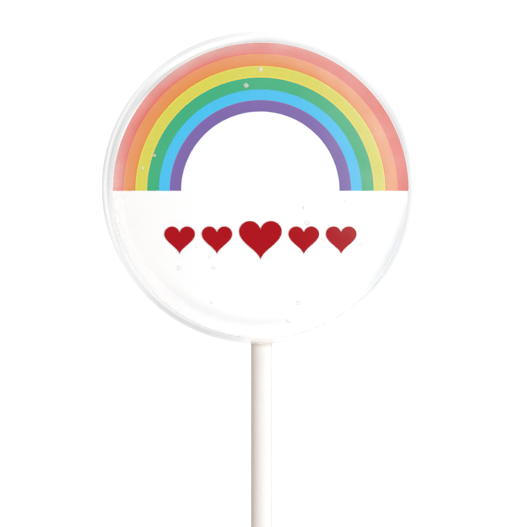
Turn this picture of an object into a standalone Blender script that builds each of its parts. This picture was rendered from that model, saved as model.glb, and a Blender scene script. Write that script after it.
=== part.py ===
"""A printed disc lollipop: a disc of clear boiled sugar with a printed sheet of edible paper and a paper stick in it.

The lollipop lies on its flat back with the picture up. The origin is the middle of the flat back, +Z points out
of the picture, +Y to the top of the picture, and the stick runs towards -Y. Every length is in metres.
"""

import math

import bpy

MM = 0.001

# Clear candy disc
CANDY_RADIUS = 28.5 * MM
CANDY_THICKNESS = 9.0 * MM
SHOULDER_WIDTH = 5.7 * MM
SHOULDER_DROP = 2.8 * MM
BACK_EDGE_ROUND = 1.0 * MM

# Paper stick, a little to the right of the disc's middle
STICK_RADIUS = 1.95 * MM
STICK_LENGTH = 114.0 * MM
STICK_BURIED = 30.0 * MM
STICK_SIDEWAYS = 0.7 * MM
STICK_HEIGHT = 3.6 * MM
STICK_EDGE_ROUND = 0.25 * MM

# Printed sheet, laid in a little off the disc's middle, just in front of the stick
SHEET_RADIUS = 26.65 * MM
SHEET_THICKNESS = 0.5 * MM
SHEET_CENTRE = (0.5 * MM, -0.5 * MM)

# The picture: a rainbow, whose outer band the sheet's edge trims, over a row of hearts
INK_THICKNESS = 0.2 * MM
RAINBOW_INNER_RADIUS = 14.45 * MM
BAND_WIDTH = 2.09 * MM
HEARTS_BELOW_CENTRE = 9.1 * MM
HEART_WIDTH = 5.6 * MM
MIDDLE_HEART_WIDTH = 7.8 * MM
HEARTS_EACH_SIDE = 2
HEART_SPACE = 1.2 * MM

# Room left between pieces that touch, and between two colours that meet in the picture
CLEARANCE = 0.3 * MM
COLOUR_GAP = 0.1 * MM

ROUND_STEPS = 96
SHOULDER_STEPS = 12
BACK_EDGE_STEPS = 5
OUTLINE_STEPS = 48
PAST_THE_RIM = 5.0 * MM

SHEET_BACK = STICK_HEIGHT + STICK_RADIUS + CLEARANCE
SHEET_FRONT = SHEET_BACK + SHEET_THICKNESS
INK_BACK = SHEET_FRONT + COLOUR_GAP
INK_FRONT = INK_BACK + INK_THICKNESS
STICK_INNER_END = STICK_BURIED - CANDY_RADIUS

# Linear red, green and blue, roughness and metallic value of each finish
FINISHES = {
    "clear_sugar": ((0.95, 0.96, 0.97), 0.05, 0.0),
    "stick_paper": ((0.90, 0.87, 0.83), 0.70, 0.0),
    "edible_paper": ((0.95, 0.95, 0.95), 0.60, 0.0),
    "violet_ink": ((0.22, 0.15, 0.42), 0.50, 0.0),
    "blue_ink": ((0.09, 0.56, 0.92), 0.50, 0.0),
    "green_ink": ((0.07, 0.46, 0.24), 0.50, 0.0),
    "yellow_ink": ((0.72, 0.66, 0.12), 0.50, 0.0),
    "orange_ink": ((0.83, 0.33, 0.11), 0.50, 0.0),
    "red_ink": ((0.78, 0.14, 0.11), 0.50, 0.0),
    "crimson_ink": ((0.44, 0.012, 0.02), 0.50, 0.0),
}
RAINBOW_FROM_INSIDE = ("violet", "blue", "green", "yellow", "orange", "red")
SUGAR_REFRACTION = 1.5


def clear_scene():
    """Removes every object, so that only the lollipop is in the scene."""
    for old in list(bpy.data.objects):
        bpy.data.objects.remove(old, do_unlink=True)


def make_collection(name):
    """A new collection in the scene."""
    made = bpy.data.collections.new(name)
    bpy.context.scene.collection.children.link(made)
    return made


def make_finish(name):
    """The material of that name in the table of finishes, made once and then shared."""
    material = bpy.data.materials.get(name)
    if material:
        return material
    colour, roughness, metallic = FINISHES[name]
    material = bpy.data.materials.new(name)
    material.use_nodes = True
    shader = material.node_tree.nodes["Principled BSDF"]
    shader.inputs["Base Color"].default_value = (*colour, 1.0)
    shader.inputs["Roughness"].default_value = roughness
    shader.inputs["Metallic"].default_value = metallic
    if name == "clear_sugar":
        shader.inputs["Transmission Weight"].default_value = 1.0
        shader.inputs["IOR"].default_value = SUGAR_REFRACTION
    return material


def put_in(collection, obj, name, finish=None):
    """Names an object, moves it to a collection and gives it its finish."""
    obj.name = name
    for old in list(obj.users_collection):
        old.objects.unlink(obj)
    collection.objects.link(obj)
    if finish:
        obj.data.materials.append(make_finish(finish))
    return obj


def shade_round(obj):
    """Shades a mesh smooth, with its sharper edges left crisp."""
    obj.data.shade_smooth()
    obj.data.set_sharp_from_angle(angle=math.radians(30.0))


def upright_disc(radius, bottom, top, centre):
    """A plain round disc between two heights."""
    bpy.ops.mesh.primitive_cylinder_add(
        vertices=ROUND_STEPS, radius=radius, depth=top - bottom, location=(*centre, (bottom + top) / 2.0)
    )
    return bpy.context.object


def bar_on_stick_axis(radius, inner_end, length):
    """A plain round bar on the stick's axis, from its end inside the candy out towards -Y."""
    bpy.ops.mesh.primitive_cylinder_add(
        vertices=ROUND_STEPS,
        radius=radius,
        depth=length,
        location=(STICK_SIDEWAYS, inner_end - length / 2.0, STICK_HEIGHT),
        rotation=(math.radians(90.0), 0.0, 0.0),
    )
    return bpy.context.object


def elliptic_arc(centre, width, height, first, last, steps):
    """Points on an ellipse between two angles in degrees, as distance from the axis and height."""
    angles = [math.radians(first + (last - first) * i / steps) for i in range(steps + 1)]
    return [(centre[0] + width * math.cos(a), centre[1] + height * math.sin(a)) for a in angles]


def candy_profile():
    """The disc's section, from the middle of its front round the shoulder and wall to the middle of its back."""
    shoulder_centre = (CANDY_RADIUS - SHOULDER_WIDTH, CANDY_THICKNESS - SHOULDER_DROP)
    shoulder = elliptic_arc(shoulder_centre, SHOULDER_WIDTH, SHOULDER_DROP, 90.0, 0.0, SHOULDER_STEPS)
    edge_centre = (CANDY_RADIUS - BACK_EDGE_ROUND, BACK_EDGE_ROUND)
    back_edge = elliptic_arc(edge_centre, BACK_EDGE_ROUND, BACK_EDGE_ROUND, 0.0, -90.0, BACK_EDGE_STEPS)
    return [(0.0, CANDY_THICKNESS), *shoulder, *back_edge, (0.0, 0.0)]


def turned_solid(profile):
    """A solid of revolution about Z, from its section on the +X side."""
    mesh = bpy.data.meshes.new("turned_solid")
    points = [(distance, 0.0, height) for distance, height in profile]
    mesh.from_pydata(points, [(i, i + 1) for i in range(len(points) - 1)], [])
    obj = bpy.data.objects.new("turned_solid", mesh)
    screw = obj.modifiers.new("turn", "SCREW")
    screw.axis = "Z"
    screw.steps = ROUND_STEPS
    screw.render_steps = ROUND_STEPS
    screw.use_merge_vertices = True
    screw.merge_threshold = 0.01 * MM
    screw.use_smooth_shade = True
    return obj


def cut_out(obj, cutter):
    """Takes a cutter out of an object."""
    boolean = obj.modifiers.new("cut_" + cutter.name, "BOOLEAN")
    boolean.operation = "DIFFERENCE"
    boolean.solver = "EXACT"
    boolean.object = cutter
    cutter.hide_render = True
    cutter.display_type = "WIRE"


def make_candy(lollipop, cutters):
    """The clear disc, with a pocket for the sheet and the stick, which opens where the stick comes out."""
    candy = put_in(lollipop, turned_solid(candy_profile()), "candy", "clear_sugar")
    sheet_pocket = upright_disc(
        SHEET_RADIUS + CLEARANCE, SHEET_BACK - CLEARANCE, INK_FRONT + CLEARANCE, SHEET_CENTRE
    )
    cut_out(candy, put_in(cutters, sheet_pocket, "sheet_pocket"))
    stick_pocket = bar_on_stick_axis(
        STICK_RADIUS + CLEARANCE, STICK_INNER_END + CLEARANCE, STICK_BURIED + CLEARANCE + PAST_THE_RIM
    )
    cut_out(candy, put_in(cutters, stick_pocket, "stick_pocket"))


def make_stick(lollipop):
    """The rolled paper stick, with the edges of its two ends just rounded."""
    bar = bar_on_stick_axis(STICK_RADIUS, STICK_INNER_END, STICK_LENGTH)
    stick = put_in(lollipop, bar, "stick", "stick_paper")
    bevel = stick.modifiers.new("end_edges", "BEVEL")
    bevel.width = STICK_EDGE_ROUND
    bevel.segments = 2
    bevel.limit_method = "ANGLE"
    bevel.angle_limit = math.radians(40.0)
    shade_round(stick)


def make_sheet(lollipop):
    """The white sheet of edible paper that carries the picture."""
    sheet = upright_disc(SHEET_RADIUS, SHEET_BACK, SHEET_FRONT, SHEET_CENTRE)
    shade_round(put_in(lollipop, sheet, "print_sheet", "edible_paper"))


def field_of_ink(outline, centre):
    """A flat field of colour on the sheet, from a closed outline about its own centre."""
    curve = bpy.data.curves.new("field_of_ink", "CURVE")
    curve.dimensions = "2D"
    curve.fill_mode = "BOTH"
    curve.extrude = INK_THICKNESS / 2.0
    spline = curve.splines.new("POLY")
    spline.points.add(len(outline) - 1)
    for point, (x, y) in zip(spline.points, outline):
        point.co = (x, y, 0.0, 1.0)
    spline.use_cyclic_u = True
    obj = bpy.data.objects.new("field_of_ink", curve)
    obj.location = (*centre, (INK_BACK + INK_FRONT) / 2.0)
    return obj


def half_ring(inner, outer):
    """The outline of one band, from its right foot over the top to its left foot and back on the inside."""
    angles = [math.pi * i / OUTLINE_STEPS for i in range(OUTLINE_STEPS + 1)]
    over = [(outer * math.cos(a), outer * math.sin(a)) for a in angles]
    back = [(inner * math.cos(a), inner * math.sin(a)) for a in reversed(angles)]
    return over + back


def heart(width):
    """The outline of a plain heart about its own middle, from the usual heart curve, which is 32 units wide."""
    unit = width / 32.0
    points = []
    for i in range(OUTLINE_STEPS):
        t = 2.0 * math.pi * i / OUTLINE_STEPS
        x = 16.0 * math.sin(t) ** 3
        y = 2.5 + 13.0 * math.cos(t) - 5.0 * math.cos(2.0 * t) - 2.0 * math.cos(3.0 * t) - math.cos(4.0 * t)
        points.append((unit * x, unit * y))
    return points


def make_rainbow(lollipop):
    """Six bands of one width from the inside out, the last one trimmed by the sheet's edge."""
    for i, colour in enumerate(RAINBOW_FROM_INSIDE):
        inner = RAINBOW_INNER_RADIUS + i * BAND_WIDTH
        outer = min(inner + BAND_WIDTH, SHEET_RADIUS) - COLOUR_GAP
        band = field_of_ink(half_ring(inner, outer), SHEET_CENTRE)
        put_in(lollipop, band, "band_" + colour, colour + "_ink")


def make_hearts(lollipop):
    """A row of hearts under the rainbow, the middle one larger."""
    side = [HEART_WIDTH] * HEARTS_EACH_SIDE
    widths = [*side, MIDDLE_HEART_WIDTH, *side]
    left = SHEET_CENTRE[0] - (sum(widths) + HEART_SPACE * (len(widths) - 1)) / 2.0
    for i, width in enumerate(widths):
        centre = (left + width / 2.0, SHEET_CENTRE[1] - HEARTS_BELOW_CENTRE)
        put_in(lollipop, field_of_ink(heart(width), centre), f"heart_{i + 1}", "crimson_ink")
        left += width + HEART_SPACE


def main():
    """Builds the lollipop."""
    clear_scene()
    lollipop = make_collection("printed_disc_lollipop")
    cutters = make_collection("cutters")
    make_candy(lollipop, cutters)
    make_stick(lollipop)
    make_sheet(lollipop)
    make_rainbow(lollipop)
    make_hearts(lollipop)


main()
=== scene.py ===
import math

import bmesh
import bpy
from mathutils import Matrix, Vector


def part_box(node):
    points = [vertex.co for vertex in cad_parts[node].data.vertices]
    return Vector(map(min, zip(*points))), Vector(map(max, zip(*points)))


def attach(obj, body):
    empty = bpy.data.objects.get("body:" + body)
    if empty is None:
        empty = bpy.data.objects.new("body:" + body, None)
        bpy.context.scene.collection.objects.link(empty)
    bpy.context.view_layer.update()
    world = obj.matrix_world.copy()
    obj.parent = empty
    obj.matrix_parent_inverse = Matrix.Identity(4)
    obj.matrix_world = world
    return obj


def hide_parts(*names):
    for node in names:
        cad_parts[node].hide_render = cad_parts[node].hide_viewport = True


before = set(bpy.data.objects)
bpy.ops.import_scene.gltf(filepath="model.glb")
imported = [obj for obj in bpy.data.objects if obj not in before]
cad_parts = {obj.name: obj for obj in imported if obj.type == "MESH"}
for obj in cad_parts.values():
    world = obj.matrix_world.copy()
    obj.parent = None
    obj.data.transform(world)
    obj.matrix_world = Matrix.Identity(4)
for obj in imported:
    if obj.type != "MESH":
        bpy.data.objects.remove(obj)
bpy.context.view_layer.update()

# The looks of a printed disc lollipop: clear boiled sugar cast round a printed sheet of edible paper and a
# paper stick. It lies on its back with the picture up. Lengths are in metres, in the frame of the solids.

MM = 0.001
BODY = "root"

# How close counts as the same place, when corners and edges are picked by where they are
NEAR = 0.01 * MM
MERGE_DISTANCE = 0.001 * MM

# Edges that turn by less than this many degrees are shown as round
SMOOTH_DEGREES = 40

# The disc, as its solid is
CANDY_LOW, CANDY_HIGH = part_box("candy")
CANDY_RADIUS = (CANDY_HIGH.x - CANDY_LOW.x) / 2
CANDY_THICKNESS = CANDY_HIGH.z - CANDY_LOW.z
DISC_MIDDLE = Vector((0, 0, 0))
SHOULDER_WIDTH = 5.7 * MM
SHOULDER_DROP = 2.8 * MM
BACK_EDGE_ROUND = 1.0 * MM

# How finely the disc is divided
CANDY_STEPS = 192
SHOULDER_STEPS = 28
BACK_EDGE_STEPS = 8
FRONT_CUTS = 27
BACK_CUTS = 5
SIDE_CUTS = 5

# The slow waves of the poured front, which fade out down the shoulder
WAVE_SIZE = 11 * MM
WAVE_HEIGHT = 0.12 * MM
WAVE_MID_LEVEL = 0.62
WAVE_FADE = 0.9 * MM

# Air in the sugar: sideways, up, height and radius of each bubble, in millimetres
PALE_BUBBLES = (
    (0.51, 21.48, 7.5, 0.5),
    (-2.13, 18.53, 7.4, 0.5),
    (-18.78, 5.80, 7.6, 0.28),
    (-20.93, 3.50, 7.7, 0.32),
    (-11.27, -10.75, 7.5, 0.26),
    (-8.90, -12.75, 7.5, 0.26),
)
GREY_BUBBLES = (
    (15.80, -2.62, 7.4, 0.40),
    (8.46, -3.75, 7.4, 0.38),
    (8.95, -6.40, 7.5, 0.48),
    (11.89, -9.47, 7.5, 0.42),
    (18.73, -10.55, 7.6, 0.44),
    (21.45, -11.40, 7.6, 0.42),
    (-14.35, -14.60, 7.5, 0.42),
    (-8.07, -14.58, 7.4, 0.42),
    (-8.49, -20.93, 7.5, 0.40),
    (7.35, -20.97, 7.5, 0.37),
    (5.40, -24.35, 7.0, 0.44),
    (-28.0, -1.17, 5.0, 0.28),
)
BUBBLE_FLATNESS = (1.0, 0.94, 0.9)
BUBBLE_DIVISIONS = 3

# The printed sheet, whose front reaches a little into the ink so that no gap shows
SHEET_LOW, SHEET_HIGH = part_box("print_sheet")
SHEET_RADIUS = (SHEET_HIGH.x - SHEET_LOW.x) / 2
SHEET_CENTRE = (SHEET_LOW + SHEET_HIGH) / 2
SHEET_INTO_INK = 0.01 * MM
SHEET_BACK_ROUND = 0.36 * MM
SHEET_BACK_STEPS = 5
SHEET_FRONT_ROUND = 0.03 * MM
SHEET_FRONT_STEPS = 2

# The rainbow on it
RAINBOW_CENTRE = SHEET_CENTRE - Vector((0.03 * MM, 0.115 * MM, 0))
BAND_EDGES = tuple(edge * MM for edge in (14.43, 16.51, 18.45, 20.63, 22.73, 24.84)) + (SHEET_RADIUS,)
BAND_STEPS = 144
BAND_ENDS_KEPT = 0.3 * MM
INK_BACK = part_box("band_red")[0].z
INK_THICKNESS = 0.08 * MM

# The stick, whose paper is rolled up in thin layers
STICK_LOW, STICK_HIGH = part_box("stick")
STICK_RADIUS = (STICK_HIGH.x - STICK_LOW.x) / 2
STICK_MIDDLE = (STICK_LOW + STICK_HIGH) / 2
STICK_LENGTH = STICK_HIGH.y - STICK_LOW.y
STICK_SIDES = 72
STICK_EDGE_ROUND = 0.18 * MM
STICK_EDGE_STEPS = 4
STICK_LAYERS = 17


# Small tools for modelling

def deselect_all():
    if bpy.context.mode != "OBJECT":
        bpy.ops.object.mode_set(mode="OBJECT")
    bpy.ops.object.select_all(action="DESELECT")


def take_up(name):
    """Names the shape that was just added, and settles its place, turn and size into its mesh."""
    piece = bpy.context.object
    piece.name = name
    piece.data.name = name
    bpy.ops.object.transform_apply(location=True, rotation=True, scale=True)
    return piece


def select_only(piece):
    deselect_all()
    bpy.context.view_layer.objects.active = piece
    piece.select_set(True)


def start_editing(piece):
    select_only(piece)
    bpy.ops.object.mode_set(mode="EDIT")
    bpy.ops.mesh.select_all(action="SELECT")


def stop_editing():
    bpy.ops.object.mode_set(mode="OBJECT")


def pick(piece, kind, wanted):
    """Selects the corners, edges or faces whose middle answers the question."""
    bpy.ops.mesh.select_mode(type=kind)
    bpy.ops.mesh.select_all(action="DESELECT")
    shape = bmesh.from_edit_mesh(piece.data)
    parts = {"VERT": shape.verts, "EDGE": shape.edges, "FACE": shape.faces}[kind]
    for part in parts:
        corners = [part] if kind == "VERT" else part.verts
        middle = sum((corner.co for corner in corners), Vector()) / len(corners)
        part.select_set(wanted(middle))
    bmesh.update_edit_mesh(piece.data)


def round_off(kind, width, steps):
    """Rounds the corners or edges that are picked."""
    bpy.ops.mesh.bevel(offset=width, segments=steps, profile=0.5, affect=kind)


def smooth(piece):
    select_only(piece)
    bpy.ops.object.shade_smooth_by_angle(angle=math.radians(SMOOTH_DEGREES))


def apply_modifier(piece, modifier):
    select_only(piece)
    bpy.ops.object.modifier_apply(modifier=modifier.name)


def ease(share):
    """Turns a share of the way into a smooth start and stop."""
    share = min(max(share, 0.0), 1.0)
    return share * share * (3 - 2 * share)


def cross_section(name, inner, outer, low, high, centre):
    """An upright rectangle to the right of a turning axis, from the inner to the outer radius."""
    deselect_all()
    middle = (centre.x + (inner + outer) / 2, centre.y, (low + high) / 2)
    bpy.ops.mesh.primitive_plane_add(size=1.0, location=middle, rotation=(math.pi / 2, 0, 0))
    bpy.context.object.scale = (outer - inner, high - low, 1)
    return take_up(name)


def spin_round(centre, steps, angle):
    bpy.ops.mesh.select_all(action="SELECT")
    bpy.ops.mesh.spin(steps=steps, angle=angle, center=(centre.x, centre.y, 0), axis=(0, 0, 1))
    bpy.ops.mesh.select_all(action="SELECT")
    bpy.ops.mesh.remove_doubles(threshold=MERGE_DISTANCE)
    bpy.ops.mesh.normals_make_consistent(inside=False)


def coat(piece, material):
    piece.data.materials.clear()
    piece.data.materials.append(material)


# Small tools for finishes

def colour_of(value):
    """A grey for one number, or the colour for three."""
    if isinstance(value, (int, float)):
        return (value, value, value, 1)
    return (*value, 1)


class Mixer:
    """Adds nodes to a material or to the world, and joins them up."""

    def __init__(self, owner):
        owner.use_nodes = True
        self.tree = owner.node_tree
        self.tree.nodes.clear()

    def add(self, kind, inputs=None, **settings):
        node = self.tree.nodes.new("ShaderNode" + kind)
        for name, value in settings.items():
            setattr(node, name, value)
        for name, value in (inputs or {}).items():
            if isinstance(value, bpy.types.NodeSocket):
                self.tree.links.new(value, node.inputs[name])
            else:
                node.inputs[name].default_value = value
        return node

    def maths(self, operation, first, second=0.0):
        node = self.add("Math", {0: first, 1: second}, operation=operation)
        return node.outputs[0]

    def product(self, first, *others):
        total = first
        for other in others:
            total = self.maths("MULTIPLY", total, other)
        return total

    def total(self, first, *others):
        total = first
        for other in others:
            total = self.maths("ADD", total, other)
        return total

    def rest_of(self, share):
        """What is left of one when the share is taken away."""
        return self.maths("SUBTRACT", 1.0, share)

    def ramp(self, share, stops):
        node = self.add("ValToRGB", {"Fac": share})
        elements = node.color_ramp.elements
        elements[0].position = stops[0][0]
        elements[0].color = colour_of(stops[0][1])
        elements[1].position = stops[-1][0]
        elements[1].color = colour_of(stops[-1][1])
        for place, value in stops[1:-1]:
            elements.new(place).color = colour_of(value)
        return node.outputs["Color"]

    def place(self):
        """Where a point of the piece is, in metres."""
        return self.add("TexCoord").outputs["Object"]

    def noise(self, size, detail=3.0, roughness=0.5, place=None):
        """A cloudy pattern from 0 to 1 whose blots are about that size."""
        node = self.add("TexNoise", {
            "Vector": place or self.place(), "Scale": 1 / size, "Detail": detail, "Roughness": roughness})
        return node.outputs["Fac"]

    def mottled(self, pattern, dark, light):
        """Two tones that follow a cloudy pattern, whose values lie mostly between 0.3 and 0.7."""
        return self.ramp(pattern, ((0.3, dark), (0.7, light)))

    def distance_from(self, centre):
        """How far a point is, sideways, from an axis that stands at the centre."""
        moved = self.add("VectorMath", {0: self.place(), 1: (centre.x, centre.y, 0)}, operation="SUBTRACT")
        flat = self.add("VectorMath", {0: moved.outputs[0], 1: (1, 1, 0)}, operation="MULTIPLY")
        return self.add("VectorMath", {0: flat.outputs[0]}, operation="LENGTH").outputs["Value"]

    def between(self, value, low, high):
        """A share from 0 to 1 as the value goes from low to high."""
        node = self.add("MapRange", {"Value": value, "From Min": low, "From Max": high})
        return node.outputs["Result"]

    def turn_of(self, up, across):
        """A direction as a share of a full turn, from straight left round by below, right and above."""
        return self.between(self.maths("ARCTAN2", up, across), -math.pi, math.pi)

    def side(self, stops):
        """A strength by the direction from the middle, in degrees from the right, from -180 to 180."""
        axes = self.add("SeparateXYZ", {0: self.place()})
        turn = self.turn_of(axes.outputs["Y"], axes.outputs["X"])
        return self.ramp(turn, [((angle + 180) / 360, strength) for angle, strength in stops])

    def blend(self, share, first, second):
        """The first colour where the share is 0, and the second where it is 1."""
        node = self.add("Mix", {0: share, 6: first, 7: second}, data_type="RGBA")
        return node.outputs[2]

    def shaded(self, colour, shade):
        node = self.add("Mix", {0: 1.0, 6: colour, 7: shade}, data_type="RGBA", blend_type="MULTIPLY")
        return node.outputs[2]

    def bump(self, height, depth):
        return self.add("Bump", {"Height": height, "Distance": depth}).outputs["Normal"]

    def matte(self, colour, grain, depth, roughness, shine=0.0):
        """A dull surface of that colour, whose grain is that deep."""
        surface = self.add("BsdfPrincipled", {
            "Base Color": colour, "Roughness": roughness, "Specular IOR Level": shine,
            "Normal": self.bump(grain, depth)})
        self.finish(surface)

    def finish(self, shader):
        self.add("OutputMaterial", {"Surface": shader.outputs[0]})


def new_finish(name):
    material = bpy.data.materials.new(name)
    return material, Mixer(material)


# A white veil and grey rings in the sugar. The veil is painted reflection of soft light on the front's
# shoulder, and the grey rings are painted shade, standing in for dark refractions and shadows seen in the
# sugar. Each ring has a centre, its strength by share of the disc's radius, and how much of that there is on
# each side, by degrees from the right

PAINTED_REFLECTION_RINGS = (
    # the broad patch on the right
    (DISC_MIDDLE, (
        (0.0, 0.0), (0.49, 0.045), (0.56, 0.065), (0.63, 0.08), (0.7, 0.105), (0.78, 0.165), (0.855, 0.21),
        (0.89, 0.18), (0.926, 0.15), (1.0, 0.1)), (
        (-180, 0.0), (-60, 0.0), (-31, 0.25), (-10, 0.8), (0, 0.97), (15, 1.0), (26, 0.93), (37, 0.8),
        (48, 0.66), (59, 0.48), (70, 0.3), (92, 0.24), (114, 0.05), (135, 0.0), (155, 0.1), (180, 0.1))),
    # over the red band and the edge of the sheet
    (DISC_MIDDLE, (
        (0.0, 0.0), (0.84, 0.0), (0.855, 0.06), (0.87, 0.19), (0.883, 0.25), (0.896, 0.31), (0.921, 0.41),
        (0.932, 0.43), (0.945, 0.0), (1.0, 0.0)), (
        (-180, 0.9), (-150, 0.45), (-90, 0.25), (-60, 0.0), (15, 0.0), (30, 0.05), (45, 0.18), (60, 0.38),
        (75, 0.58), (88, 0.6), (100, 0.8), (112, 0.97), (125, 1.0), (136, 0.68), (150, 0.52), (160, 0.48),
        (170, 0.85), (180, 1.0))),
    # over the orange band
    (DISC_MIDDLE, (
        (0.0, 0.0), (0.79, 0.0), (0.82, 0.075), (0.855, 0.11), (0.87, 0.03), (0.885, 0.0), (1.0, 0.0)), (
        (-180, 0.6), (-176, 0.0), (15, 0.0), (28, 0.2), (45, 0.55), (62, 1.0), (78, 1.0), (88, 0.4),
        (100, 0.45), (125, 0.45), (150, 0.25), (165, 0.5), (180, 0.6))),
)
# Painted shade: grey rings that darken the clear sugar where dark refractions and the sheet's shadow would
# show
PAINTED_SHADE_RINGS = (
    # all of the clear rim outside the sheet
    (SHEET_CENTRE, (
        (0.0, 0.0), (0.942, 0.0), (0.948, 0.13), (1.0, 0.13)), (
        (-180, 1.0), (85, 1.0), (100, 0.3), (110, 0.1), (130, 0.1), (142, 1.0), (180, 1.0))),
    # the dark line close to the sheet on the left
    (DISC_MIDDLE, (
        (0.0, 0.0), (0.925, 0.0), (0.933, 0.22), (0.945, 0.39), (0.955, 0.5), (0.962, 0.4), (0.968, 0.18),
        (0.975, 0.0), (1.0, 0.0)), (
        (-180, 0.87), (-170, 0.54), (-160, 0.48), (-150, 0.12), (-140, 0.12), (-130, 0.0), (120, 0.0),
        (130, 0.28), (140, 0.6), (150, 0.75), (160, 1.0), (170, 1.0), (180, 0.87))),
    # the line along the sheet's edge on the right and over the top
    (SHEET_CENTRE, (
        (0.0, 0.0), (0.94, 0.0), (0.948, 0.4), (0.962, 0.34), (0.968, 0.24), (0.974, 0.16), (0.982, 0.06),
        (0.99, 0.0), (1.0, 0.0)), (
        (-180, 0.0), (-60, 0.0), (-50, 0.1), (-40, 0.4), (-10, 0.4), (0, 0.6), (20, 1.0), (30, 1.0),
        (40, 0.75), (60, 0.8), (80, 0.75), (90, 0.85), (100, 0.5), (110, 0.42), (120, 0.4), (130, 0.75),
        (140, 0.6), (150, 0.25), (160, 0.0), (180, 0.0))),
    # the outermost edge
    (DISC_MIDDLE, (
        (0.0, 0.0), (0.97, 0.0), (0.979, 0.22), (0.985, 0.45), (0.992, 0.52), (1.0, 0.41)), (
        (-180, 0.9), (-170, 0.88), (-160, 0.45), (-150, 0.0), (5, 0.0), (20, 0.35), (30, 0.48), (40, 0.35),
        (60, 0.22), (90, 0.22), (110, 0.18), (120, 0.27), (140, 0.25), (150, 0.65), (160, 0.82),
        (170, 1.0), (180, 0.9))),
    # the outer rim at the top
    (DISC_MIDDLE, (
        (0.0, 0.0), (0.953, 0.0), (0.96, 0.1), (0.9725, 0.36), (1.0, 0.36)), (
        (-180, 0.0), (80, 0.0), (90, 0.25), (100, 0.72), (110, 1.0), (120, 1.0), (130, 0.8), (140, 0.5),
        (150, 0.2), (160, 0.1), (180, 0.0))),
    # the rim on the lower left, as far as the stick
    (DISC_MIDDLE, (
        (0.0, 0.0), (0.92, 0.0), (0.935, 0.03), (0.947, 0.08), (0.96, 0.26), (0.966, 0.37), (0.9725, 0.45),
        (0.985, 0.48), (0.992, 0.39), (1.0, 0.22)), (
        (-180, 0.0), (-170, 0.0), (-160, 0.2), (-150, 0.55), (-140, 0.62), (-130, 0.95), (-120, 1.0),
        (-110, 0.98), (-100, 0.74), (-97, 0.62), (-92, 0.1), (-85, 0.0), (180, 0.0))),
    # a soft band over the white of the sheet, near the stick
    (SHEET_CENTRE, (
        (0.0, 0.0), (0.79, 0.0), (0.825, 0.12), (0.8445, 0.17), (0.864, 0.1), (0.883, 0.03), (0.9, 0.0),
        (1.0, 0.0)), (
        (-180, 0.0), (-150, 0.0), (-140, 0.25), (-130, 0.6), (-120, 1.0), (-80, 1.0), (-70, 0.4),
        (-60, 0.1), (-50, 0.0), (180, 0.0))),
    # the edge of the sheet on the lower right
    (DISC_MIDDLE, (
        (0.0, 0.0), (0.86, 0.0), (0.89, 0.12), (0.92, 0.25), (0.953, 0.45), (0.96, 0.32), (0.966, 0.0),
        (1.0, 0.0)), (
        (-180, 0.0), (-60, 0.0), (-50, 0.15), (-40, 0.7), (-30, 1.0), (-20, 1.0), (-10, 0.8), (0, 0.3),
        (8, 0.0), (180, 0.0))),
)
# Painted shade: the front over the red band is greyed, most at the top and on the left
PAINTED_SHADE_OVER_RED = (DISC_MIDDLE, (
    (0.0, 0.0), (0.86, 0.0), (0.875, 0.13), (0.93, 0.22), (0.94, 0.0), (1.0, 0.0)), (
    (-180, 0.0), (0, 0.0), (20, 0.2), (40, 0.45), (60, 0.45), (78, 0.5), (90, 0.75), (100, 1.0), (125, 1.0),
    (137, 0.8), (145, 0.2), (155, 0.35), (163, 0.6), (170, 0.64), (178, 0.0), (180, 0.0)))
RIM_AT_THE_STICK = (DISC_MIDDLE, (
    (0.0, 0.0), (0.93, 0.0), (0.95, 1.0), (0.975, 1.0), (1.0, 0.6)), (
    (-180, 0.0), (-98, 0.0), (-92.5, 1.0), (-84, 1.0), (-77, 0.0), (180, 0.0)))

# The painted reflection lies in the front half of the disc as a white veil, and is a little thicker where a
# cloudy pattern is higher. It would be none at the first value of the pattern, and full at the second
REFLECTION_BLOT_SIZE = 4 * MM
REFLECTION_BLOTS = (-0.75, 1.25)
REFLECTION_STRENGTH = 1.6
HAZE_AT_THE_STICK = 0.85
FRONT_STARTS = 3 * MM
FRONT_IS_FULL = 5 * MM


def ring_patch(mixer, centre, by_radius, by_side):
    """A pattern in rings round a centre, by share of the disc's radius, that is stronger on some sides."""
    radius = mixer.between(mixer.distance_from(centre), 0.0, CANDY_RADIUS)
    return mixer.product(mixer.ramp(radius, by_radius), mixer.side(by_side))


def in_front(mixer):
    """Nothing on the back of the disc, and everything on its front."""
    height = mixer.add("SeparateXYZ", {0: mixer.place()}).outputs["Z"]
    return mixer.between(height, FRONT_STARTS, FRONT_IS_FULL)


def painted_reflection_and_haze(mixer):
    """A white veil under the front of the sugar, in rings and patches, that is painted reflection of soft
    light on its shoulder, and haze at the foot of the stick.
    """
    rings = [ring_patch(mixer, *ring) for ring in PAINTED_REFLECTION_RINGS]
    blots = mixer.between(mixer.noise(REFLECTION_BLOT_SIZE, detail=1.0), *REFLECTION_BLOTS)
    blots = mixer.product(blots, REFLECTION_STRENGTH)
    painted_reflection = mixer.product(mixer.total(*rings), blots)
    painted_reflection = mixer.product(painted_reflection, in_front(mixer))
    foot = mixer.product(ring_patch(mixer, *RIM_AT_THE_STICK), HAZE_AT_THE_STICK)
    return mixer.total(painted_reflection, foot)


def painted_shade(mixer):
    """Grey rings in the rim, over the sheet and over the red band: painted shade, standing in for dark
    refractions and shadows seen in the sugar.
    """
    rings = mixer.total(*[ring_patch(mixer, *ring) for ring in PAINTED_SHADE_RINGS])
    over_red = mixer.product(in_front(mixer), ring_patch(mixer, *PAINTED_SHADE_OVER_RED))
    away_from_the_stick = mixer.rest_of(ring_patch(mixer, *RIM_AT_THE_STICK))
    return mixer.product(mixer.total(rings, over_red), away_from_the_stick)


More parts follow.
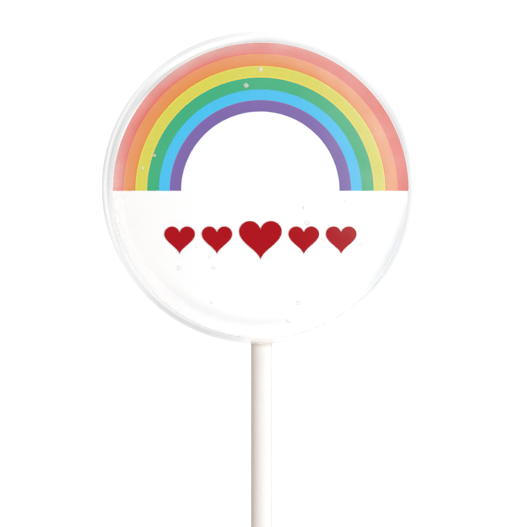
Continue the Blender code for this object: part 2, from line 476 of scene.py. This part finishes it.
def let_light_past(mixer, shader):
    """Light on its way to the paper passes the sugar straight, so the picture inside stays evenly lit."""
    path = mixer.add("LightPath")
    open_way = mixer.add("BsdfTransparent")
    off_paper = mixer.add("MixShader", {
        0: path.outputs["Is Diffuse Ray"], 1: shader.outputs[0], 2: open_way.outputs[0]})
    from_lamps = mixer.add("MixShader", {
        0: path.outputs["Is Shadow Ray"], 1: off_paper.outputs[0], 2: open_way.outputs[0]})
    mixer.finish(from_lamps)


def clear_sugar():
    """Boiled sugar, clear as glass but for a white veil under its front, which is painted reflection, and
    grey rings, which are painted shade.
    """
    material, mixer = new_finish("clear sugar")
    sugar = mixer.add("BsdfPrincipled", {
        "Base Color": mixer.rest_of(painted_shade(mixer)), "Roughness": 0.02, "IOR": 1.5,
        "Transmission Weight": mixer.rest_of(painted_reflection_and_haze(mixer))})
    let_light_past(mixer, sugar)
    return material


def trapped_air(name, dark, light, clearness):
    """The wall of an air bubble, with a pale frosted tone that is painted reflection and shade: it stands in
    for the light a clear bubble reflects and the dark at its bent edges, so that it shows as a soft disc.
    """
    material, mixer = new_finish(name)
    frost = mixer.mottled(mixer.noise(0.3 * MM), dark, light)
    wall = mixer.add("BsdfPrincipled", {
        "Base Color": frost, "Roughness": 0.3, "IOR": 1.08, "Transmission Weight": clearness})
    let_light_past(mixer, wall)
    return material


def pale_air():
    return trapped_air("pale trapped air", dark=0.84, light=0.9, clearness=0.67)


def grey_air():
    return trapped_air("grey trapped air", dark=0.87, light=0.93, clearness=0.78)


# Paper and ink. A band of the rainbow has its own colour, and one at its inner and one at its outer line

BAND_COLOURS = {
    "violet": ((0.206, 0.138, 0.405), (0.178, 0.117, 0.377), (0.275, 0.111, 0.398)),
    "blue": ((0.073, 0.522, 0.85), (0.073, 0.522, 0.85), (0.073, 0.522, 0.85)),
    "green": ((0.058, 0.427, 0.21), (0.058, 0.427, 0.21), (0.015, 0.431, 0.261)),
    "yellow": ((0.668, 0.638, 0.097), (0.9, 0.67, 0.087), (0.70, 0.757, 0.122)),
    "orange": ((0.762, 0.282, 0.0925), (0.755, 0.235, 0.052), (0.762, 0.282, 0.0925)),
    "red": ((0.715, 0.143, 0.108), (0.728, 0.104, 0.103), (0.715, 0.143, 0.108)),
}
SHEET_TONES = ((0.935, 0.955, 0.972), (0.955, 0.975, 0.992))
SHEET_EDGE_BLUE = (0.74, 0.79, 0.86)
SHEET_EDGE = (SHEET_CENTRE, ((0.0, 0.0), (0.926, 0.0), (0.933, 1.0), (1.0, 1.0)), (
    (-180, 0.0), (-60, 0.0), (-40, 0.8), (0, 1.0), (15, 0.0), (180, 0.0)))
SHEET_GRAIN_SIZE = 0.4 * MM
SHEET_GRAIN_DEPTH = 0.02 * MM
CRIMSON_TONES = ((0.37, 0.006, 0.0115), (0.42, 0.008, 0.0145))
INK_SHADES = (0.94, 1.0)
INK_GRAIN_SIZE = 0.35 * MM
INK_GRAIN_DEPTH = 0.01 * MM
INK_ROUGHNESS = 0.6

STICK_TONES = ((0.78, 0.77, 0.752), (0.83, 0.82, 0.802))
FIBRE_SIZE = 0.25 * MM
FIBRE_STRETCH = (1.0, 0.08, 1.0)
FIBRE_SHARE = 0.6
FIBRE_DEPTH = 0.03 * MM
STICK_BLOT_SIZE = 3 * MM
STICK_BLOT_SHARE = 0.4
# A seam below the right edge of the stick, whose warm darker band fades out over the right edge: painted
# shade on the side turned from the light
SEAM_AND_RIGHT_SIDE_SHADE = (
    (0.0, 1.0), (0.41, 1.0), (0.415, (0.86, 0.83, 0.79)), (0.52, (0.91, 0.88, 0.84)), (0.6, 1.0),
    (1.0, 1.0))
# Painted shadow: the stick turns darker and browner where it meets the disc, as the disc's contact shadow
DISC_SHADOW_STARTS = -29.5 * MM
DISC_SHADOW_IS_FULL = -28.6 * MM
DISC_SHADOW_TONES = ((0.0, 1.0), (0.4, 0.96), (1.0, (0.82, 0.77, 0.74)))
LAYER_SHADES = ((0.0, 0.8), (1.0, 1.0))


def edible_paper():
    """Matte white sheet with a faint tooth, a little bluer at its cut edge on the lower right."""
    material, mixer = new_finish("edible paper")
    edge = ring_patch(mixer, *SHEET_EDGE)
    grain = mixer.noise(SHEET_GRAIN_SIZE)
    sheet = mixer.mottled(grain, *SHEET_TONES)
    tint = mixer.blend(edge, sheet, colour_of(SHEET_EDGE_BLUE))
    mixer.matte(tint, grain, SHEET_GRAIN_DEPTH, roughness=0.75)
    return material


def printed_ink(name, colour, inner_line, outer_line, inner, outer):
    """Food ink on the sheet, with the thin lines where two colours were laid down side by side."""
    material, mixer = new_finish(name + " ink")
    across = mixer.between(mixer.distance_from(RAINBOW_CENTRE), inner, outer)
    bands = mixer.ramp(across, (
        (0.0, inner_line), (0.05, inner_line), (0.12, colour), (0.88, colour), (0.95, outer_line),
        (1.0, outer_line)))
    grain = mixer.noise(INK_GRAIN_SIZE, detail=4.0, roughness=0.6)
    tone = mixer.shaded(bands, mixer.mottled(grain, *INK_SHADES))
    mixer.matte(tone, grain, INK_GRAIN_DEPTH, roughness=INK_ROUGHNESS)
    return material


def crimson_ink():
    """Deep red food ink for the hearts."""
    material, mixer = new_finish("crimson ink")
    grain = mixer.noise(INK_GRAIN_SIZE, detail=4.0, roughness=0.6)
    tone = mixer.mottled(grain, *CRIMSON_TONES)
    mixer.matte(tone, grain, INK_GRAIN_DEPTH, roughness=INK_ROUGHNESS)
    return material


def rolled_paper():
    """Tightly rolled white paper: long fibres, a seam whose darker band fades over the right side as painted
    shade, painted shadow where it meets the disc, and layers at the end.
    """
    material, mixer = new_finish("rolled stick paper")
    stretched = mixer.add("Mapping", {"Vector": mixer.place(), "Scale": FIBRE_STRETCH}).outputs[0]
    fibres = mixer.noise(FIBRE_SIZE, detail=4.0, roughness=0.6, place=stretched)
    blots = mixer.noise(STICK_BLOT_SIZE)
    mixed = mixer.total(mixer.product(fibres, FIBRE_SHARE), mixer.product(blots, STICK_BLOT_SHARE))
    tone = mixer.mottled(mixed, *STICK_TONES)
    axes = mixer.add("SeparateXYZ", {0: mixer.place()})
    across = mixer.maths("SUBTRACT", axes.outputs["X"], STICK_MIDDLE.x)
    height = mixer.maths("SUBTRACT", axes.outputs["Z"], STICK_MIDDLE.z)
    # Seam line plus painted shade on the stick's right side
    seam_and_side_shade = mixer.ramp(mixer.turn_of(height, across), SEAM_AND_RIGHT_SIDE_SHADE)
    # Painted shadow where the stick meets the disc
    disc_shadow = mixer.ramp(mixer.between(axes.outputs["Y"], DISC_SHADOW_STARTS, DISC_SHADOW_IS_FULL), DISC_SHADOW_TONES)
    off_axis = mixer.maths("SQRT", mixer.total(mixer.product(across, across), mixer.product(height, height)))
    one_layer = STICK_RADIUS / STICK_LAYERS
    layer = mixer.between(mixer.maths("PINGPONG", off_axis, one_layer), 0.0, one_layer)
    for shade in (seam_and_side_shade, disc_shadow, mixer.ramp(layer, LAYER_SHADES)):
        tone = mixer.shaded(tone, shade)
    mixer.matte(tone, fibres, FIBRE_DEPTH, roughness=0.7, shine=0.3)
    return material


# The disc of sugar

def disc_section():
    """Half of the disc's section: a rounded shoulder in front and a small round at the back edge."""
    stretch = SHOULDER_WIDTH / SHOULDER_DROP
    disc = cross_section("clear_candy", 0, CANDY_RADIUS, 0, CANDY_THICKNESS * stretch, DISC_MIDDLE)
    near_rim = CANDY_RADIUS - NEAR
    start_editing(disc)
    pick(disc, "VERT", lambda p: p.x > near_rim and p.z > CANDY_THICKNESS)
    round_off("VERTICES", SHOULDER_WIDTH, SHOULDER_STEPS)
    bpy.ops.mesh.select_all(action="SELECT")
    bpy.ops.transform.resize(value=(1, 1, 1 / stretch), center_override=(0, 0, 0))
    pick(disc, "VERT", lambda p: p.x > near_rim and p.z < NEAR)
    round_off("VERTICES", BACK_EDGE_ROUND, BACK_EDGE_STEPS)
    pick(disc, "FACE", lambda p: True)
    bpy.ops.mesh.delete(type="ONLY_FACE")
    pick(disc, "EDGE", lambda p: p.x < NEAR)
    bpy.ops.mesh.delete(type="EDGE")
    front_edge = CANDY_RADIUS - SHOULDER_WIDTH
    pick(disc, "EDGE", lambda p: p.z > CANDY_THICKNESS - NEAR and p.x < front_edge)
    bpy.ops.mesh.subdivide(number_cuts=FRONT_CUTS)
    pick(disc, "EDGE", lambda p: p.z < NEAR)
    bpy.ops.mesh.subdivide(number_cuts=BACK_CUTS)
    pick(disc, "EDGE", lambda p: p.x > near_rim)
    bpy.ops.mesh.subdivide(number_cuts=SIDE_CUTS)
    return disc


def uneven_front(disc):
    """Gives the poured front the slight unevenness of set sugar, and leaves the rim and the back even."""
    group = disc.vertex_groups.new(name="front")
    for corner in disc.data.vertices:
        share = (corner.co.z - CANDY_THICKNESS + WAVE_FADE) / WAVE_FADE
        group.add([corner.index], ease(share), "REPLACE")
    clouds = bpy.data.textures.new("slow waves", "CLOUDS")
    clouds.noise_scale = WAVE_SIZE
    clouds.noise_depth = 1
    waves = disc.modifiers.new("slow waves", "DISPLACE")
    waves.texture = clouds
    waves.texture_coords = "LOCAL"
    waves.direction = "Z"
    waves.vertex_group = "front"
    waves.strength = WAVE_HEIGHT
    waves.mid_level = WAVE_MID_LEVEL
    apply_modifier(disc, waves)


def air_bubble(place, radius, air):
    """A slightly flattened hollow, whose faces look into the air inside it."""
    deselect_all()
    bpy.ops.mesh.primitive_ico_sphere_add(subdivisions=BUBBLE_DIVISIONS, radius=radius, location=place)
    bubble = take_up("air_bubble")
    start_editing(bubble)
    bpy.ops.transform.resize(value=BUBBLE_FLATNESS, center_override=place)
    bpy.ops.mesh.flip_normals()
    stop_editing()
    coat(bubble, air)
    return bubble


def clear_candy():
    disc = disc_section()
    spin_round(DISC_MIDDLE, CANDY_STEPS, 2 * math.pi)
    stop_editing()
    uneven_front(disc)
    coat(disc, clear_sugar())
    bubbles = []
    for group, air in ((PALE_BUBBLES, pale_air()), (GREY_BUBBLES, grey_air())):
        for across, up, height, radius in group:
            bubbles.append(air_bubble(Vector((across, up, height)) * MM, radius * MM, air))
    deselect_all()
    for bubble in bubbles:
        bubble.select_set(True)
    disc.select_set(True)
    bpy.context.view_layer.objects.active = disc
    bpy.ops.object.join()
    smooth(disc)
    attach(disc, BODY)
    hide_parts("candy")


# The printed sheet and its picture

def printed_sheet():
    deselect_all()
    depth = INK_BACK + SHEET_INTO_INK - SHEET_LOW.z
    middle = (SHEET_CENTRE.x, SHEET_CENTRE.y, SHEET_LOW.z + depth / 2)
    bpy.ops.mesh.primitive_cylinder_add(
        vertices=2 * BAND_STEPS, radius=SHEET_RADIUS, depth=depth, location=middle)
    sheet = take_up("printed_sheet")
    start_editing(sheet)
    pick(sheet, "EDGE", lambda p: p.z < middle[2] - depth / 3)
    round_off("EDGES", SHEET_BACK_ROUND, SHEET_BACK_STEPS)
    pick(sheet, "EDGE", lambda p: p.z > middle[2] + depth / 2 - NEAR)
    round_off("EDGES", SHEET_FRONT_ROUND, SHEET_FRONT_STEPS)
    stop_editing()
    smooth(sheet)
    coat(sheet, edible_paper())
    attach(sheet, BODY)
    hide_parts("print_sheet")


def colour_band(name, inner, outer, ink):
    """One flat half ring of the rainbow."""
    band = cross_section(name, inner, outer, INK_BACK, INK_BACK + INK_THICKNESS, RAINBOW_CENTRE)
    start_editing(band)
    spin_round(RAINBOW_CENTRE, BAND_STEPS, -math.pi)
    if outer == SHEET_RADIUS:
        follow_the_sheet(band)
    stop_editing()
    smooth(band)
    coat(band, ink)
    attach(band, BODY)
    return band


def follow_the_sheet(band):
    """The rainbow is printed a little low, so its last band is drawn out to the round of the sheet."""
    near_edge = SHEET_RADIUS - NEAR
    above_ends = RAINBOW_CENTRE.y + BAND_ENDS_KEPT
    middle = RAINBOW_CENTRE.xy
    pick(band, "VERT", lambda p: (p.xy - middle).length > near_edge and p.y > above_ends)
    bpy.ops.transform.translate(value=SHEET_CENTRE - RAINBOW_CENTRE)


def rainbow():
    for name, inner, outer in zip(BAND_COLOURS, BAND_EDGES, BAND_EDGES[1:]):
        ink = printed_ink(name, *BAND_COLOURS[name], inner, outer)
        band = colour_band(name + "_band", inner, outer, ink)
        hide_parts("band_" + name)


def hearts():
    """The hearts are right as they are in the solids, and only take their ink."""
    ink = crimson_ink()
    for name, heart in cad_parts.items():
        if name.startswith("heart_"):
            for slot in heart.material_slots:
                slot.material = ink


# The stick

def paper_stick():
    deselect_all()
    bpy.ops.mesh.primitive_cylinder_add(
        vertices=STICK_SIDES, radius=STICK_RADIUS, depth=STICK_LENGTH, location=STICK_MIDDLE,
        rotation=(math.pi / 2, 0, 0))
    stick = take_up("paper_stick")
    half = STICK_LENGTH / 2
    start_editing(stick)
    pick(stick, "EDGE", lambda p: abs(abs(p.y - STICK_MIDDLE.y) - half) < NEAR)
    round_off("EDGES", STICK_EDGE_ROUND, STICK_EDGE_STEPS)
    stop_editing()
    smooth(stick)
    coat(stick, rolled_paper())
    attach(stick, BODY)
    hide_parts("stick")


# The room. Where a value lies between -1 and 1, it is how far a direction points to the right or up

CAMERA_PLACE = (1.04 * MM, -13.84 * MM, 606.2 * MM)
CAMERA_SENSOR_MM = 36.0
CAMERA_LENS_MM = 224.8
CLEAR_BOUNCES = 24

TABLE_SIZE = 4.0
TABLE_BELOW = 0.1 * MM
TABLE_GRAIN_SIZE = 2 * MM
TABLE_GLOW = 1.13
TABLE_GLOW_HELD_BACK = 0.2

LAMP_SIZE = 0.8
LAMP_WATTS = 21.6
LAMP_LEAN = math.radians(27)
LAMP_DISTANCE = 1.5

ROOM_GREY = 0.36
ROOM_BROWN = (0.56, 0.31, 0.13)
ROOM_DARK = 0.05
BROWN_SIDE = (0.3, -0.8)
BROWN_HEIGHT = (0.7, 0.3)
DARK_OVERHEAD = (0.9, 0.96)
WINDOWS_AROUND = (
    (0.0, 0.8), (0.06, 0.4), (0.12, 0.0), (0.6, 0.0), (0.72, 0.7), (0.82, 1.0), (0.94, 1.0), (1.0, 0.8))
WINDOWS_BY_HEIGHT = ((0.0, 0.0), (0.5, 0.0), (0.6, 1.0), (0.85, 0.8), (0.94, 0.0), (1.0, 0.0))
WINDOW_STRENGTH = 0.9
BACKDROP_STRENGTH = 1.15
BACKDROP_THROUGH_SUGAR = 0.6


def light_table_top():
    """The pale floor, lit from below so that nothing on it casts a shadow."""
    material, mixer = new_finish("pale floor")
    tone = mixer.mottled(mixer.noise(TABLE_GRAIN_SIZE), dark=0.02, light=0.03)
    path = mixer.add("LightPath")
    held_back = mixer.product(path.outputs["Is Diffuse Ray"], TABLE_GLOW_HELD_BACK)
    top = mixer.add("BsdfPrincipled", {
        "Base Color": tone, "Roughness": 0.9, "Specular IOR Level": 0.0, "Emission Color": (1, 1, 1, 1),
        "Emission Strength": mixer.maths("SUBTRACT", TABLE_GLOW, held_back)})
    mixer.finish(top)
    return material


def floor():
    deselect_all()
    bpy.ops.mesh.primitive_plane_add(size=TABLE_SIZE, location=(0, 0, -TABLE_BELOW))
    table = take_up("floor")
    coat(table, light_table_top())


def key_light():
    """A big soft lamp up on the right, which leaves the left side of the stick in shade."""
    lamp = bpy.data.lights.new("key", "AREA")
    lamp.shape = "DISK"
    lamp.size = LAMP_SIZE
    lamp.energy = LAMP_WATTS
    holder = bpy.data.objects.new("key", lamp)
    bpy.context.scene.collection.objects.link(holder)
    holder.location = (LAMP_DISTANCE * math.sin(LAMP_LEAN), 0, LAMP_DISTANCE * math.cos(LAMP_LEAN))
    holder.rotation_euler = (0, LAMP_LEAN, 0)
    holder.visible_glossy = False


def soft_windows(mixer, axes):
    """Big pale windows high up, beyond the top of the picture and on its left, seen only as reflections."""
    around = mixer.ramp(mixer.turn_of(axes.outputs["Y"], axes.outputs["X"]), WINDOWS_AROUND)
    height = mixer.ramp(mixer.between(axes.outputs["Z"], 0.0, 1.0), WINDOWS_BY_HEIGHT)
    path = mixer.add("LightPath")
    mirrored = mixer.product(path.outputs["Is Glossy Ray"], path.outputs["Is Reflection Ray"])
    return mixer.product(around, height, mirrored, WINDOW_STRENGTH)


def room_light():
    """Soft light from all round, brown low on the left and dark overhead, and white behind what is seen."""
    world = bpy.data.worlds.new("room")
    bpy.context.scene.world = world
    mixer = Mixer(world)
    way = mixer.add("TexCoord").outputs["Generated"]
    axes = mixer.add("SeparateXYZ", {0: way})
    left = mixer.between(axes.outputs["X"], *BROWN_SIDE)
    low = mixer.between(axes.outputs["Z"], *BROWN_HEIGHT)
    path = mixer.add("LightPath")
    brown = mixer.product(left, low, path.outputs["Is Diffuse Ray"])
    tone = mixer.blend(brown, colour_of(ROOM_GREY), colour_of(ROOM_BROWN))
    overhead = mixer.between(axes.outputs["Z"], *DARK_OVERHEAD)
    tone = mixer.blend(overhead, tone, colour_of(ROOM_DARK))
    room = mixer.add("Background", {"Color": tone, "Strength": 1.0})
    windows = mixer.add("Background", {"Color": colour_of(1), "Strength": soft_windows(mixer, axes)})
    room = mixer.add("AddShader", {0: room.outputs[0], 1: windows.outputs[0]})
    beyond = mixer.add("Background", {"Color": colour_of(1), "Strength": BACKDROP_STRENGTH})
    through_sugar = mixer.product(path.outputs["Is Transmission Ray"], BACKDROP_THROUGH_SUGAR)
    backdrop = mixer.maths("MAXIMUM", path.outputs["Is Camera Ray"], through_sugar)
    both = mixer.add("MixShader", {0: backdrop, 1: room.outputs[0], 2: beyond.outputs[0]})
    mixer.add("OutputWorld", {"Surface": both.outputs[0]})


def camera():
    """Looks straight down from above the disc, as the photograph does."""
    lens = bpy.data.cameras.new("camera")
    lens.sensor_width = CAMERA_SENSOR_MM
    lens.lens = CAMERA_LENS_MM
    holder = bpy.data.objects.new("camera", lens)
    bpy.context.scene.collection.objects.link(holder)
    holder.location = CAMERA_PLACE
    bpy.context.scene.camera = holder


def plain_pictures():
    """Colours as they are lit, and no light thrown by the sugar onto the paper as by a lens."""
    scene = bpy.context.scene
    scene.view_settings.view_transform = "Standard"
    scene.cycles.caustics_refractive = False
    scene.cycles.caustics_reflective = False
    scene.cycles.transparent_max_bounces = CLEAR_BOUNCES


camera()
plain_pictures()
room_light()
key_light()
floor()
clear_candy()
printed_sheet()
rainbow()
hearts()
paper_stick()
